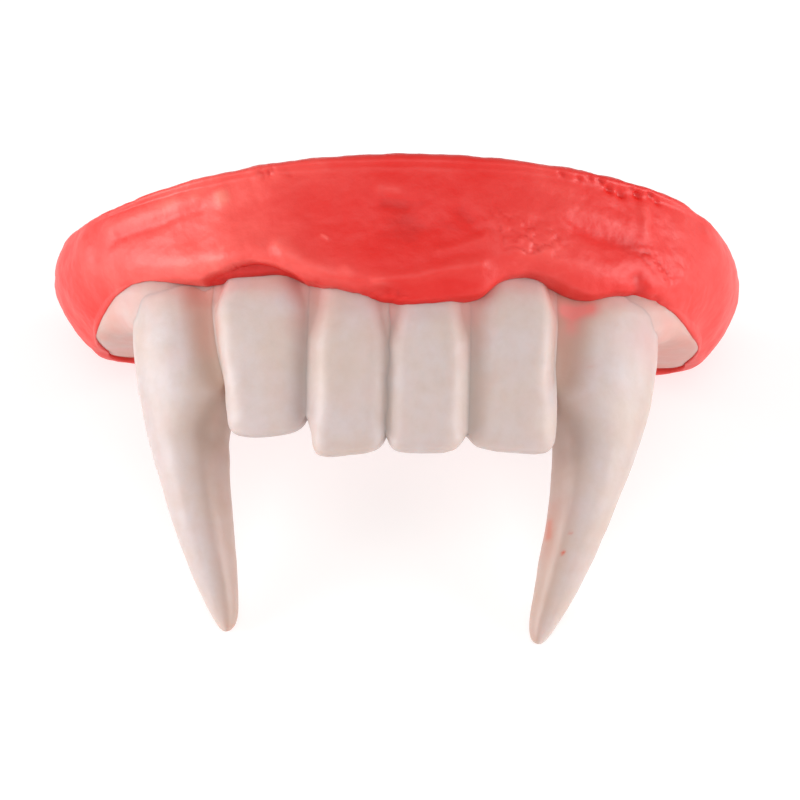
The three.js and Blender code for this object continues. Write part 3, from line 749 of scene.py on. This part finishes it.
# The real teeth are cast in one row, so each runs into the next in a valley that both share. place is where the
# valley lies in the space between the two (0 at the first), below is its depth under the lower face (mm), and notch
# is the level where it ends on each tooth, faded over so many mm. Behind it the teeth run into each other (overlap,
# mm). full is how much of its width each of the two stays full before it falls to the valley, and draw is how far
# the valley slants towards the first (mm).
jointsTable = [
    {
        "teeth": ("left_central_incisor", "right_central_incisor"), "place": 0.5, "below": 0.8,
        "notch": (-11.2, -11.2), "fade": (2.2, 2.2), "overlap": (0.8, 0.8), "draw": 0.0, "full": (2.4, 2.2),
    },
    {
        "teeth": ("left_central_incisor", "left_lateral_incisor"), "place": 0.5, "below": 1.0,
        "notch": (-9.7, -9.7), "fade": (2.2, 2.2), "overlap": (0.8, 0.8), "draw": 0.0, "full": (2.0, 2.8),
    },
    {
        "teeth": ("right_central_incisor", "right_lateral_incisor"), "place": 0.5, "below": 0.9,
        "notch": (-11.0, -11.0), "fade": (2.2, 2.2), "overlap": (0.8, 0.8), "draw": 0.0, "full": (2.4, 2.1),
    },
    {
        "teeth": ("left_lateral_incisor", "left_fang"), "place": 0.1, "below": 1.2,
        "notch": (-6.5, -8.2), "fade": (4.0, 6.0), "overlap": (0.0, 1.2), "draw": 1.5, "full": (3.6, 1.4),
    },
    {
        "teeth": ("right_lateral_incisor", "right_fang"), "place": -0.1, "below": 1.2,
        "notch": (-6.5, -8.2), "fade": (4.0, 6.0), "overlap": (0.0, 1.2), "draw": 0.3, "full": (3.2, 1.4),
    },
]
valleys = {node: {} for node in teethTable}
pairs = ("notch", "fade", "overlap", "full")
for row in jointsTable:
    first, second = (teethTable[node] for node in row["teeth"])
    acrossMidline = first["side"] != second["side"]
    gap = second["space"] + (first["space"] if acrossMidline else 0)
    valleys[row["teeth"][0]]["In" if acrossMidline else "Out"] = dict(
        row, meet=gap * row["place"], draw=-row["draw"], **{key: row[key][0] for key in pairs},
    )
    valleys[row["teeth"][1]]["In"] = dict(
        row, meet=gap * (1 - row["place"]), **{key: row[key][1] for key in pairs},
    )


# mould flash down the left fang's outer edge: its levels and height (mm), place round the tooth and half width
flash = {"top": -5.8, "bottom": -12.8, "height": 0.5, "at": 33, "half": 9}


# how far out from the arch's middle the face of a tooth lies at a level
def faceOut(tooth, level):
    at = min(max((crown["rootTop"] - level) / (crown["rootTop"] + tooth["drop"]), 0.0), 1.0)
    out = placeBeside(tooth, 0)[1]
    back = at ** tooth["curve"] * (tooth["sweep"] * out.y - tooth["lean"] * out.x)
    return along(toothForms[tooth["form"]], at, "face") * trayHalf + back


# how a side of a tooth reaches for its neighbour at a level; aside is how far the lean has moved it
def wingAt(node, way, level, own, aside):
    joint = valleys[node].get(way)
    if joint is None:
        return {"half": own, "joined": 0.0}
    notch, fade = joint["notch"], joint["fade"]
    joined = smooth(notch - 0.35 * fade, notch + 0.65 * fade, level)
    drawn = joint["draw"] * smooth(2.0, -9.0, level)
    meet = teethTable[node]["width"] / 2 + joint["meet"] + drawn + (aside if way == "In" else -aside)
    overlap = joint["overlap"] * smooth(notch + 0.25 * fade, notch + 0.8 * fade, level)
    own += min(drawn, 0.0)
    return {
        "half": lerp(own, max(own, meet), joined) + overlap, "joined": joined, "meet": meet, "full": joint["full"],
        "valley": min(faceOut(teethTable[other], level) for other in joint["teeth"]) - joint["below"],
    }


# One ring of a tooth that stands on the right side of the arch: each point, and how far down in a valley it lies.
# Joined parts follow the arch, so that neighbours meet exactly, and free parts stay in the tooth's own plane.
def crownRing(node, at):
    tooth = teethTable[node]
    width, depth = (along(toothForms[tooth["form"]], at, column) for column in ("width", "depth"))
    level = crown["rootTop"] - at * (crown["rootTop"] + tooth["drop"])
    middle, out = placeBeside(tooth, 0)
    beside = Vector((-out.y, out.x, 0))
    aside = at ** tooth["curve"] * (tooth["lean"] * out.y + tooth["sweep"] * out.x)
    face, halfDepth = faceOut(tooth, level), depth * tooth["depth"] / 2
    narrow = 1 + crown["topNarrow"] * smooth(tooth["top"] - crown["topHeight"], tooth["top"], level)
    drop = crown["topDrop"] * smooth(tooth["top"] - crown["topRound"], tooth["top"] + 0.6, level)
    own = width * tooth["width"] / 2 * lerp(1, tooth["slim"], smooth(0.35, 0.7, at))
    wings = [wingAt(node, way, level, own, aside) for way in ("Out", "In")]
    ring = []
    for j in range(fineness["toothSides"]):
        turn = 2 * math.pi * j / fineness["toothSides"]
        c, s = math.cos(turn), math.sin(turn)
        wing = wings[c < 0]
        across = math.copysign(abs(c) ** (2 / tooth["squareness"]), c) * wing["half"]
        forward = math.copysign(abs(s) ** (2 / tooth["squareness"]), s) * halfDepth
        hollow = drop * max(s, 0)
        if s > 0 and tooth["form"] == "fang":
            away = (math.degrees(turn) - crown["grooveAt"]) / crown["grooveHalf"]
            hollow += crown["groove"] * width * math.exp(-away * away) * smooth(0, 0.15, at)
        point = middle + out * (face - halfDepth + forward - hollow) + beside * (across + aside)
        down = 0.0
        if s > -1e-6 and wing["joined"] > 0:
            beyond = max(abs(across) - wing["meet"], 0.0)
            down = (1 - math.cos(math.pi * min(abs(across) / wing["meet"] * narrow, 1.0) ** wing["full"])) / 2
            arched, outThere = placeBeside(tooth, across + aside)
            arched = arched + outThere * (lerp(face - hollow, wing["valley"], down) - 0.25 * beyond)
            point = point.lerp(arched, wing["joined"])
            down *= wing["joined"]
        point.x *= tooth["side"]
        point.z = level + tooth["tilt"] * across * smooth(0.7, 1.0, at)
        ring.append((point, down))
    return ring


def makeTooth(node, material):
    tooth = teethTable[node]
    sides = fineness["toothSides"]
    count = round((crown["rootTop"] + tooth["drop"]) / fineness["toothStep"])
    points, turnsOf, downs = [], [], []
    for i in range(count + 1):
        at = 1 - (1 - i / count) ** 1.15     # closer together at the tip
        for j, (point, down) in enumerate(crownRing(node, at)):
            points.append(point)
            turnsOf.append(2 * math.pi * j / sides)
            downs.append(down)
    faces = []
    for i in range(count):
        for j in range(sides):
            a, b = i * sides + j, i * sides + (j + 1) % sides
            faces.append((a, b, b + sides, a + sides))
    for ring, start in ((0, 0), (1, count * sides)):
        rim = points[start:start + sides]
        points.append(sum(rim, Vector()) / sides)
        turnsOf.append(-1.0)
        downs.append(0.0)
        faces += [(start + j, start + (j + 1) % sides, len(points) - 1) for j in range(sides)]
    name = "vinyl" + "".join(word.capitalize() for word in node.split("_"))
    mesh = meshFrom(name, points, faces)

    shifts, blush, stain = [], [], []
    for vertex, turn, down in zip(mesh.vertices, turnsOf, downs):
        spot = vertex.co
        shift = crown["lumps"] * noise.fractal(spot / crown["lumpSize"], 0.9, 2.0, 2)
        shift += crown["grain"] * noise.noise(spot / crown["grainSize"])
        red = 0.22 * smooth(0.0, 3.0, spot.z) + 0.08 * noise.noise(spot / 2.1)
        red += 0.3 * down * smooth(-6.0, 1.5, spot.z)
        rust = 0.0
        for mark in faceMarks if vertex.normal.y < 0.3 else []:
            near = nearness(mark["path"], mark["reach"], spot.x, spot.z)
            shift += mark["out"] * near
            rust += mark["stain"] * near
            red += mark["blush"] * near
        if node == "left_fang" and flash["bottom"] < spot.z < flash["top"] and turn >= 0:
            away = (math.degrees(turn) - flash["at"]) / flash["half"]
            ragged = noise.fractal((spot.z / 0.55, 4.2, 0.7), 0.6, 2.2, 3) + 0.2
            shift += flash["height"] * max(ragged, 0.0) * math.exp(-away * away)
        shifts.append(shift)
        blush.append(red)
        stain.append(rust)
    if tooth["form"] == "fang":     # its inner flank is painted darker all the way down: painted shade on the side that faces away from the lamps and into the neighbouring tooth
        flankShades = [crown["flank"] * smooth(90, 160, math.degrees(turn)) for turn in turnsOf]
        downs = [max(1.8 * smooth(0.05, 0.9, down), flank) for down, flank in zip(downs, flankShades)]
    finishMesh(mesh, shifts, {"blush": blush, "stain": stain, "creaseShade": downs})
    return addPiece(mesh, node, material)


# Soft vinyl (plasticised PVC) cast in a closed mould: light goes a millimetre or two into it, so edges and creases
# glow and nothing on it is hard-edged. Its skin has the satin gloss of the mould.
def castVinyl(name, roughness, blushHex):
    vinyl = {
        # valley is the colour of the painted shade in the creases between the teeth
        "body": "#cbb7ae", "shade": "#bda598", "cool": "#ccbdbb", "rust": "#c9583f", "valley": "#a98470",
        "mottle": 0.0045, "cloud": 0.0012, "pit": 0.0004,
    }
    material, tree = newMaterial(name)
    place = addNode(tree, "ShaderNodeTexCoord").outputs["Object"]
    mottle = addNode(tree, "ShaderNodeTexNoise", {
        "Vector": place, "Scale": 1 / vinyl["mottle"], "Detail": 3.0, "Roughness": 0.5,
    })
    cloud = addNode(tree, "ShaderNodeTexNoise", {
        "Vector": place, "Scale": 1 / vinyl["cloud"], "Detail": 4.0, "Roughness": 0.6,
    })
    pits = addNode(tree, "ShaderNodeTexNoise", {"Vector": place, "Scale": 1 / vinyl["pit"], "Detail": 2.0})
    mottled = addNode(tree, "ShaderNodeMapRange", {
        "Value": mottle.outputs["Fac"], "From Min": 0.35, "From Max": 0.65,
    })
    body = addNode(tree, "ShaderNodeMix", {
        0: mottled.outputs["Result"], 6: toLinear(vinyl["body"]), 7: toLinear(vinyl["cool"]),
    }, data_type="RGBA")
    clouded = addNode(tree, "ShaderNodeMapRange", {
        "Value": cloud.outputs["Fac"], "From Min": 0.4, "From Max": 0.8, "To Max": 0.35,
    })
    shaded = addNode(tree, "ShaderNodeMix", {
        0: clouded.outputs["Result"], 6: body.outputs[2], 7: toLinear(vinyl["shade"]),
    }, data_type="RGBA")
    # the crease attribute mixes in the valley colour: painted shade in the valleys between the teeth and down the
    # fangs' inner flanks
    creaseShade = addNode(tree, "ShaderNodeAttribute", attribute_name="creaseShade")
    creaseShadeRange = addNode(tree, "ShaderNodeMapRange", {
        "Value": creaseShade.outputs["Fac"], "From Min": 0.3, "To Max": 0.38,
    }, clamp=False)
    creaseShadedColour = addNode(tree, "ShaderNodeMix", {
        0: creaseShadeRange.outputs["Result"], 6: shaded.outputs[2], 7: toLinear(vinyl["valley"]),
    }, data_type="RGBA")
    blush = addNode(tree, "ShaderNodeAttribute", attribute_name="blush")
    flushed = addNode(tree, "ShaderNodeMix", {
        0: blush.outputs["Fac"], 6: creaseShadedColour.outputs[2], 7: toLinear(blushHex),
    }, data_type="RGBA")
    stain = addNode(tree, "ShaderNodeAttribute", attribute_name="stain")
    stained = addNode(tree, "ShaderNodeMix", {
        0: stain.outputs["Fac"], 6: flushed.outputs[2], 7: toLinear(vinyl["rust"]),
    }, data_type="RGBA")
    gloss = addNode(tree, "ShaderNodeMapRange", {
        "Value": cloud.outputs["Fac"], "To Min": roughness - 0.06, "To Max": roughness + 0.08,
    })
    bump = addNode(tree, "ShaderNodeBump", {"Height": pits.outputs["Fac"], "Strength": 0.25, "Distance": 0.00004})
    shader = addNode(tree, "ShaderNodeBsdfPrincipled", {
        "Base Color": stained.outputs[2], "Roughness": gloss.outputs["Result"], "Normal": bump.outputs["Normal"],
        "IOR": 1.53, "Subsurface Weight": 0.6, "Subsurface Radius": (1.0, 0.62, 0.5), "Subsurface Scale": 0.0014,
    })
    addNode(tree, "ShaderNodeOutputMaterial", {"Surface": shader.outputs["BSDF"]})
    return material


# Red vinyl paint brushed thinly over the cast: coral where it is thin and the white shows through, blood red where
# it has run into the hollows, with a satin skin that keeps the marks of the brush.
def brushedPaint():
    paint = {
        "thin": "#f67f70", "coral": "#f15951", "red": "#e23831", "deep": "#de1c12", "clot": "#c0160f", "bare": "#d6c3b9",
        "thickest": 1.33,
        "patch": 0.0042, "streak": 0.0011, "speck": 0.00035,
    }
    material, tree = newMaterial("brushedRedVinylPaint")
    place = addNode(tree, "ShaderNodeTexCoord").outputs["Object"]
    patch = addNode(tree, "ShaderNodeTexNoise", {
        "Vector": place, "Scale": 1 / paint["patch"], "Detail": 4.0, "Roughness": 0.55, "Distortion": 0.3,
    })
    stretched = addNode(tree, "ShaderNodeMapping", {"Vector": place, "Scale": (0.35, 1.0, 1.0)})
    streak = addNode(tree, "ShaderNodeTexNoise", {
        "Vector": stretched.outputs["Vector"], "Scale": 1 / paint["streak"], "Detail": 4.0, "Roughness": 0.6,
    })
    speck = addNode(tree, "ShaderNodeTexNoise", {"Vector": place, "Scale": 1 / paint["speck"], "Detail": 2.0})
    laid = addNode(tree, "ShaderNodeAttribute", attribute_name="paint")
    patched = addNode(tree, "ShaderNodeMath", {
        0: patch.outputs["Fac"], 1: 0.5, 2: -0.25,
    }, operation="MULTIPLY_ADD")
    streaked = addNode(tree, "ShaderNodeMath", {
        0: streak.outputs["Fac"], 1: 0.3, 2: -0.15,
    }, operation="MULTIPLY_ADD")
    uneven = addNode(tree, "ShaderNodeMath", {0: patched.outputs[0], 1: streaked.outputs[0]}, operation="ADD")
    amount = addNode(tree, "ShaderNodeMath", {0: laid.outputs["Fac"], 1: uneven.outputs[0]}, operation="ADD")
    depth = addNode(tree, "ShaderNodeMapRange", {"Value": amount.outputs[0], "From Max": paint["thickest"]})
    ramp = addNode(tree, "ShaderNodeValToRGB", {"Fac": depth.outputs["Result"]})
    # the last stop is thick clotted paint, and also the painted shadow under the lip
    stops = [(0.0, "thin"), (0.27, "coral"), (0.56, "red"), (0.78, "deep"), (1.0, "clot")]
    while len(ramp.color_ramp.elements) < len(stops):
        ramp.color_ramp.elements.new(0.5)
    for element, (position, coat) in zip(ramp.color_ramp.elements, stops):
        element.position = position
        element.color = toLinear(paint[coat])
    cover = addNode(tree, "ShaderNodeAttribute", attribute_name="cover")
    ragged = addNode(tree, "ShaderNodeMath", {
        0: cover.outputs["Fac"], 1: streaked.outputs[0],
    }, operation="ADD")
    covered = addNode(tree, "ShaderNodeMapRange", {
        "Value": ragged.outputs[0], "From Min": 0.35, "From Max": 0.55,
    })
    colour = addNode(tree, "ShaderNodeMix", {
        0: covered.outputs["Result"], 6: toLinear(paint["bare"]), 7: ramp.outputs["Color"],
    }, data_type="RGBA")
    gloss = addNode(tree, "ShaderNodeMapRange", {"Value": patch.outputs["Fac"], "To Min": 0.34, "To Max": 0.56})
    height = addNode(tree, "ShaderNodeMath", {
        0: streak.outputs["Fac"], 1: 0.6, 2: speck.outputs["Fac"],
    }, operation="MULTIPLY_ADD")
    bump = addNode(tree, "ShaderNodeBump", {"Height": height.outputs[0], "Strength": 0.35, "Distance": 0.00007})
    shader = addNode(tree, "ShaderNodeBsdfPrincipled", {
        "Base Color": colour.outputs[2], "Roughness": gloss.outputs["Result"], "Normal": bump.outputs["Normal"],
        "IOR": 1.5, "Subsurface Weight": 0.25, "Subsurface Radius": (1.0, 0.25, 0.2), "Subsurface Scale": 0.0008,
    })
    addNode(tree, "ShaderNodeOutputMaterial", {"Surface": shader.outputs["BSDF"]})
    return material


toothVinyl = castVinyl("castWhiteVinyl", 0.42, "#dc7f78")
bedVinyl = castVinyl("castVinylWithPaintedGumReflection", 0.5, "#d98d80")
gumPaint = brushedPaint()
print("materials made")

makeGum(gumPaint)
makeBed(bedVinyl)
for node in teethTable:
    makeTooth(node, toothVinyl)

# ROOM
room = {"floorSize": 3.0, "floor": "#bfbebd", "floorGlow": 0.58, "world": "#ffffff", "worldStrength": 0.46}


def makeFloor():
    half = room["floorSize"] / 2
    corners = [(-half, -half, 0), (half, -half, 0), (half, half, 0), (-half, half, 0)]
    mesh = meshFrom("floor", corners, [(0, 1, 2, 3)])
    floor = bpy.data.objects.new("floor", mesh)
    bpy.context.scene.collection.objects.link(floor)
    material, tree = newMaterial("paleCard")
    shader = addNode(tree, "ShaderNodeBsdfPrincipled", {
        "Base Color": toLinear(room["floor"]), "Roughness": 0.9,
        "Emission Color": toLinear(room["world"]), "Emission Strength": room["floorGlow"],   # lit from below
    })
    addNode(tree, "ShaderNodeOutputMaterial", {"Surface": shader.outputs["BSDF"]})
    mesh.materials.append(material)


# soft boxes: place (m) from the denture, size (m) and power (W)
lamps = [
    {"name": "leftBox", "place": (-0.62, -0.08, 0.2), "size": 0.4, "power": 3.2},
    {"name": "rightBox", "place": (0.62, -0.08, 0.2), "size": 0.4, "power": 2.8},
    {"name": "topBox", "place": (0.0, -0.34, 0.62), "size": 0.5, "power": 1.15},
]


def makeLamps():
    for lamp in lamps:
        light = bpy.data.lights.new(lamp["name"], "AREA")
        light.shape = "SQUARE"
        light.size = lamp["size"]
        light.energy = lamp["power"]
        holder = bpy.data.objects.new(lamp["name"], light)
        holder.location = lamp["place"]
        holder.rotation_euler = (-Vector(lamp["place"])).to_track_quat("-Z", "Y").to_euler()
        bpy.context.scene.collection.objects.link(holder)
    world = bpy.data.worlds.new("studio")
    world.use_nodes = True
    backdrop = world.node_tree.nodes["Background"]
    backdrop.inputs["Color"].default_value = toLinear(room["world"])
    backdrop.inputs["Strength"].default_value = room["worldStrength"]
    bpy.context.scene.world = world
    bpy.context.scene.view_settings.view_transform = "Standard"


# the photograph looks along +Y, a little below the level of the denture's own teeth
view = {
    "belowLevel": 13.0,      # degrees
    "distance": 0.34,
    "pixelsPerMetre": 11950,  # at the middle of the denture
    "frame": 800,
    "middleAt": (397, 349),   # where the middle of its box lies in the frame
    "roll": 1.2,
}


def makeCamera():
    low, high = cadBox
    middle = (low + high) / 2
    elevation = lean - math.radians(view["belowLevel"])
    back = Vector((0, -math.cos(elevation), math.sin(elevation)))
    upright = back.to_track_quat("Z", "Y") @ Quaternion((0, 0, 1), math.radians(view["roll"]))
    across = (view["frame"] / 2 - view["middleAt"][0]) / view["pixelsPerMetre"]
    down = (view["frame"] / 2 - view["middleAt"][1]) / view["pixelsPerMetre"]
    aim = middle + upright @ Vector((across, -down, 0))
    place = middle + back * view["distance"]
    camera = bpy.data.cameras.new("camera")
    camera.sensor_width = 36
    camera.lens = camera.sensor_width * view["pixelsPerMetre"] * view["distance"] / view["frame"]
    camera.clip_start = 0.01
    holder = bpy.data.objects.new("camera", camera)
    holder.location = place
    turned = (place - aim).to_track_quat("Z", "Y") @ Quaternion((0, 0, 1), math.radians(view["roll"]))
    holder.rotation_mode = "QUATERNION"
    holder.rotation_quaternion = turned
    bpy.context.scene.collection.objects.link(holder)
    bpy.context.scene.camera = holder


makeFloor()
makeLamps()
makeCamera()
print("room made")
